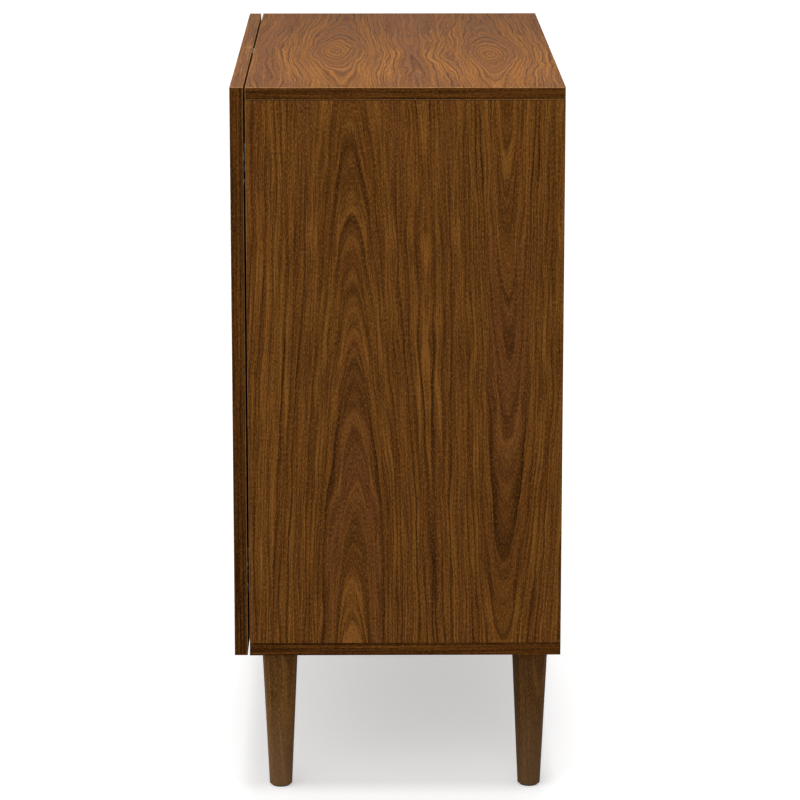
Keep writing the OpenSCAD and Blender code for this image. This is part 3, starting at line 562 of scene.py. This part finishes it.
# Families of nodes: their name, or how their names start where it ends in _, then the
# easing in mm, the material and its slot. A node with no easing keeps its own mesh and
# slot, and takes only the material.
for family, edge, material, slot in (
        ("divider", 0, upright, ""),
        ("top_panel", 0, top_leaf, ""),
        ("bottom_panel", 0, sideways, ""),
        ("door_right", 0, door_leaf, ""),
        ("door_left", 0, door_leaf, ""),
        ("shelf_left_", 0.3, sideways, "veneer_body"),
        ("shelf_right_", 0.3, sideways, "veneer_body"),
        ("leg_front_", 0.3, leg_wood, "leg_wood"),
        ("leg_back_", 0.3, back_leg_shaded_wood, "leg_wood"),
        ("glide_", 0.3, glide_plastic, "glide_plastic"),
        ("hinge_plate_left_", 0.15, nickel, "nickel_steel"),
        ("hinge_plate_right_", 0.15, nickel, "nickel_steel"),
        ("hinge_arm_left_", 0.15, nickel, "nickel_steel"),
        ("hinge_arm_right_", 0.15, nickel, "nickel_steel"),
        ("hinge_cup_left_", 0.15, nickel, "nickel_steel"),
        ("hinge_cup_right_", 0.15, nickel, "nickel_steel"),
        ("cam_locks", 0.15, zinc, "zinc_fitting"),
        ("inner_links_", 0, nickel, ""),
        ("outer_links_", 0, nickel, ""),
        ("hinge_arm_pins", 0, nickel, ""),
        ("hinge_arm_screws", 0, nickel, ""),
        ("hinge_plate_screws", 0, nickel, ""),
        ("hinge_cup_pins_", 0, nickel, ""),
        ("hinge_cup_screws_", 0, nickel, ""),
        ("shelf_pins", 0, nickel, ""),
        ("cam_bolts", 0, zinc, ""),
        ("hanger_bolts", 0, zinc, ""),
        ("tee_nuts", 0, zinc, ""),
        ("dowels", 0, beech, ""),
        ("back_panel", 0, hardboard, ""),
        ("door_left_bumpers", 0, bumper, ""),
        ("door_right_bumpers", 0, bumper, "")):
    for node in nodes:
        if not (node == family or family.endswith("_") and node.startswith(family)):
            continue
        if edge:
            eased_copy(node, edge, material)
        else:
            for place in nodes[node].material_slots:
                place.material = material


# ---------------------------------------------------------------------------
# Floor, light and camera
# ---------------------------------------------------------------------------

# the floor's width in metres, the share of light that its paper throws back, and a
# glow that is seen but lights nothing
FLOOR_WIDTH = 60
FLOOR_WHITE = 0.78
FLOOR_GLOW = 0.42
# the room's light on the object, and its white as the eye sees it
ROOM_LIGHT = 0.37
ROOM_WHITE = 1.0
WHITE = (1, 1, 1, 1)


def seen_by_eye(tree):
    """1 where a thing is seen, straight on, in a gloss or through glass, and 0 where
    it only lights other things."""
    path = add_node(tree, "ShaderNodeLightPath")
    seen = add_node(tree, "ShaderNodeMath", {
        0: path.outputs["Is Camera Ray"], 1: path.outputs["Is Glossy Ray"]}, operation="MAXIMUM")
    return add_node(tree, "ShaderNodeMath", {
        0: seen, 1: path.outputs["Is Transmission Ray"]}, operation="MAXIMUM")


def add_lamp(name, kind, strength):
    """A lamp of the studio, which is turned and placed afterwards."""
    data = bpy.data.lights.new(name, kind)
    data.energy = strength
    lamp = bpy.data.objects.new(name, data)
    scene.collection.objects.link(lamp)
    return lamp


bpy.ops.object.select_all(action="DESELECT")
bpy.ops.mesh.primitive_plane_add(size=FLOOR_WIDTH, location=(0, 0, 0))
floor = bpy.context.object
floor.name = "studio_floor"

# white paper: no gloss, and it keeps the object's shadow
paper = bpy.data.materials.new("white studio paper")
paper.use_nodes = True
tree = paper.node_tree
tree.nodes.clear()
share = add_node(tree, "ShaderNodeMath", {0: seen_by_eye(tree), 1: FLOOR_GLOW},
                 operation="MULTIPLY")
glow = add_node(tree, "ShaderNodeEmission", {"Color": WHITE, "Strength": share})
matt = add_node(tree, "ShaderNodeBsdfDiffuse", {
    "Color": (FLOOR_WHITE, FLOOR_WHITE, FLOOR_WHITE, 1)})
both = add_node(tree, "ShaderNodeAddShader", {0: matt, 1: glow})
add_node(tree, "ShaderNodeOutputMaterial", {"Surface": both})
floor.data.materials.append(paper)

world = bpy.data.worlds.new("studio")
world.use_nodes = True
scene.world = world
tree = world.node_tree
tree.nodes.clear()
strength = add_node(tree, "ShaderNodeMapRange", {
    0: seen_by_eye(tree), 1: 0, 2: 1, 3: ROOM_LIGHT, 4: ROOM_WHITE})
sky = add_node(tree, "ShaderNodeBackground", {"Color": WHITE, "Strength": strength})
add_node(tree, "ShaderNodeOutputWorld", {"Surface": sky})

# each far light: where it comes from, how wide it is in degrees and its strength
for name, lean, spread, strength in (
        ("overhead light", (-0.88, 0.02, 1), 12, 1.3),
        ("side fill", (1, -0.25, 0.45), 60, 1.2),
        ("front fill", (0.3, -1, 0.7), 50, 0.45)):
    lamp = add_lamp(name, "SUN", strength)
    lamp.data.angle = math.radians(spread)
    lamp.rotation_euler = Vector(lean).to_track_quat("Z", "Y").to_euler()
# a near one that hangs over the right side and brightens that end of the top
softbox = add_lamp("softbox over the right side", "AREA", 14)
softbox.data.size = 0.9
softbox.location = (0.36, 0, 1.75)

# the camera stands 4.3 m off the right side and looks down a little at it
lens = bpy.data.cameras.new("camera")
lens.lens = 163.7
lens.sensor_width = 36
lens.clip_end = FLOOR_WIDTH
camera = bpy.data.objects.new("camera", lens)
scene.collection.objects.link(camera)
camera.location = (4.6817, -0.0375, 1.4335)
camera.rotation_euler = (math.radians(77.67), 0, math.radians(89.46))
scene.camera = camera
